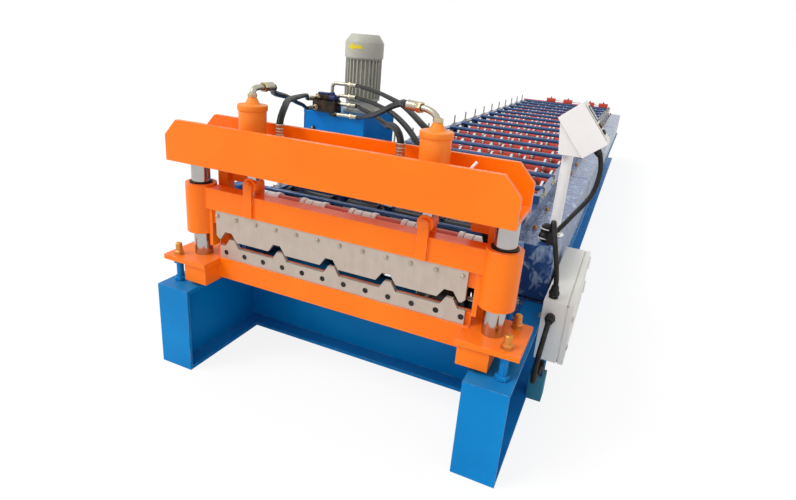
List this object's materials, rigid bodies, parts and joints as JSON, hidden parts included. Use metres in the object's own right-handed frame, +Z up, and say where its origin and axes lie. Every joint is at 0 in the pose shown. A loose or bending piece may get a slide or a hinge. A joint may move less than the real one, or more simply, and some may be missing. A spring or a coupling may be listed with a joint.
{
  "type": "roll forming machine",
  "caption": "Floor-standing roll forming line for ribbed roof sheet: H-beam base, deck of coupled rolls, guided hydraulic shear with profiled blades, pump station, cabinet and console.",
  "frame": {"origin": "on the floor, under the middle of the front cross beam of the base", "axes": "+X to the right seen from the shear, +Y back along the line of rolls, +Z up"},
  "size_m": [2.1263, 6.485, 1.3503],
  "materials": {
    "frame_blue": "gloss enamel",
    "deck_blue": "gloss enamel",
    "guard_film": "painted sheet under clear film",
    "shear_orange": "gloss enamel",
    "roll_red": "primer red with chromed rings",
    "chrome": "hard chrome",
    "blade_steel": "ground tool steel",
    "motor_grey": "grey enamel",
    "cabinet_white": "powder coat",
    "black_hose": "ribbed hydraulic hose",
    "motor_black": "black enamel",
    "valve_steel": "zinc plated"
  },
  "bodies": {
    "frame": {"base_frame": "frame_blue", "oil_tank": "frame_blue", "side_plate_left": "deck_blue", "side_plate_right": "deck_blue", "tie_bar_ladder": "deck_blue", "chain_guard": "guard_film", "lower_shear_frame": "shear_orange", "upper_crossbeam": "shear_orange", "cylinder_left": "shear_orange", "cylinder_right": "shear_orange", "lower_roll_bed": "roll_red", "entry_guide": "roll_red", "pillar_left": "chrome", "pillar_right": "chrome", "lower_blade": "blade_steel", "pump_motor": "motor_grey", "electric_cabinet": "cabinet_white", "operator_console": "cabinet_white", "valve_block": "valve_steel", "drive_motor": "motor_black", "hose_left_cap": "black_hose", "hose_left_port": "black_hose", "hose_right_cap": "black_hose", "hose_right_port": "black_hose", "drive_hose_1": "black_hose", "drive_hose_2": "black_hose", "console_conduit": "black_hose", "cabinet_conduit": "black_hose", "foot_conduit": "black_hose"},
    "cutter": {"moving_beam": "shear_orange", "upper_blade": "blade_steel", "piston_rod_left": "chrome", "piston_rod_right": "chrome"},
    "door": {"cabinet_door": "cabinet_white"},
    "roll_01": {"upper_roll_01": "roll_red"},
    "roll_02": {"upper_roll_02": "roll_red"},
    "roll_03": {"upper_roll_03": "roll_red"},
    "roll_04": {"upper_roll_04": "roll_red"},
    "roll_05": {"upper_roll_05": "roll_red"},
    "roll_06": {"upper_roll_06": "roll_red"},
    "roll_07": {"upper_roll_07": "roll_red"},
    "roll_08": {"upper_roll_08": "roll_red"},
    "roll_09": {"upper_roll_09": "roll_red"},
    "roll_10": {"upper_roll_10": "roll_red"},
    "roll_11": {"upper_roll_11": "roll_red"},
    "roll_12": {"upper_roll_12": "roll_red"},
    "roll_13": {"upper_roll_13": "roll_red"},
    "roll_14": {"upper_roll_14": "roll_red"},
    "roll_15": {"upper_roll_15": "roll_red"},
    "roll_16": {"upper_roll_16": "roll_red"},
    "roll_17": {"upper_roll_17": "roll_red"}
  },
  "joints": [
    {"name": "cutter_slide", "type": "slide", "parent": "frame", "child": "cutter", "axis": [0, 0, -1], "range_m": [0, 0.04]},
    {"name": "roll_01_spin", "type": "hinge", "parent": "frame", "child": "roll_01", "pos_m": [0, 0.0905, 0.595], "axis": [1, 0, 0], "continuous": true},
    {"name": "roll_02_spin", "type": "hinge", "parent": "frame", "child": "roll_02", "pos_m": [0, 0.7405, 0.595], "axis": [1, 0, 0], "continuous": true},
    {"name": "roll_03_spin", "type": "hinge", "parent": "frame", "child": "roll_03", "pos_m": [0, 1.0655, 0.595], "axis": [1, 0, 0], "continuous": true},
    {"name": "roll_04_spin", "type": "hinge", "parent": "frame", "child": "roll_04", "pos_m": [0, 1.3905, 0.595], "axis": [1, 0, 0], "continuous": true},
    {"name": "roll_05_spin", "type": "hinge", "parent": "frame", "child": "roll_05", "pos_m": [0, 1.7155, 0.595], "axis": [1, 0, 0], "continuous": true},
    {"name": "roll_06_spin", "type": "hinge", "parent": "frame", "child": "roll_06", "pos_m": [0, 2.0405, 0.595], "axis": [1, 0, 0], "continuous": true},
    {"name": "roll_07_spin", "type": "hinge", "parent": "frame", "child": "roll_07", "pos_m": [0, 2.3655, 0.595], "axis": [1, 0, 0], "continuous": true},
    {"name": "roll_08_spin", "type": "hinge", "parent": "frame", "child": "roll_08", "pos_m": [0, 2.6905, 0.595], "axis": [1, 0, 0], "continuous": true},
    {"name": "roll_09_spin", "type": "hinge", "parent": "frame", "child": "roll_09", "pos_m": [0, 3.0155, 0.595], "axis": [1, 0, 0], "continuous": true},
    {"name": "roll_10_spin", "type": "hinge", "parent": "frame", "child": "roll_10", "pos_m": [0, 3.3405, 0.595], "axis": [1, 0, 0], "continuous": true},
    {"name": "roll_11_spin", "type": "hinge", "parent": "frame", "child": "roll_11", "pos_m": [0, 3.6655, 0.595], "axis": [1, 0, 0], "continuous": true},
    {"name": "roll_12_spin", "type": "hinge", "parent": "frame", "child": "roll_12", "pos_m": [0, 3.9905, 0.595], "axis": [1, 0, 0], "continuous": true},
    {"name": "roll_13_spin", "type": "hinge", "parent": "frame", "child": "roll_13", "pos_m": [0, 4.3155, 0.595], "axis": [1, 0, 0], "continuous": true},
    {"name": "roll_14_spin", "type": "hinge", "parent": "frame", "child": "roll_14", "pos_m": [0, 4.6405, 0.595], "axis": [1, 0, 0], "continuous": true},
    {"name": "roll_15_spin", "type": "hinge", "parent": "frame", "child": "roll_15", "pos_m": [0, 4.9655, 0.595], "axis": [1, 0, 0], "continuous": true},
    {"name": "roll_16_spin", "type": "hinge", "parent": "frame", "child": "roll_16", "pos_m": [0, 5.2905, 0.595], "axis": [1, 0, 0], "continuous": true},
    {"name": "roll_17_spin", "type": "hinge", "parent": "frame", "child": "roll_17", "pos_m": [0, 5.6155, 0.595], "axis": [1, 0, 0], "continuous": true},
    {"name": "door_hinge", "type": "hinge", "parent": "frame", "child": "door", "pos_m": [0.8203, 0.656, 0.3385], "axis": [0, 0, 1], "range_deg": [0, 110]}
  ],
  "couplings": [
    {"joint": "roll_02_spin", "follows": "roll_01_spin", "ratio": 1},
    {"joint": "roll_03_spin", "follows": "roll_01_spin", "ratio": 1},
    {"joint": "roll_04_spin", "follows": "roll_01_spin", "ratio": 1},
    {"joint": "roll_05_spin", "follows": "roll_01_spin", "ratio": 1},
    {"joint": "roll_06_spin", "follows": "roll_01_spin", "ratio": 1},
    {"joint": "roll_07_spin", "follows": "roll_01_spin", "ratio": 1},
    {"joint": "roll_08_spin", "follows": "roll_01_spin", "ratio": 1},
    {"joint": "roll_09_spin", "follows": "roll_01_spin", "ratio": 1},
    {"joint": "roll_10_spin", "follows": "roll_01_spin", "ratio": 1},
    {"joint": "roll_11_spin", "follows": "roll_01_spin", "ratio": 1},
    {"joint": "roll_12_spin", "follows": "roll_01_spin", "ratio": 1},
    {"joint": "roll_13_spin", "follows": "roll_01_spin", "ratio": 1},
    {"joint": "roll_14_spin", "follows": "roll_01_spin", "ratio": 1},
    {"joint": "roll_15_spin", "follows": "roll_01_spin", "ratio": 1},
    {"joint": "roll_16_spin", "follows": "roll_01_spin", "ratio": 1},
    {"joint": "roll_17_spin", "follows": "roll_01_spin", "ratio": 1}
  ]
}
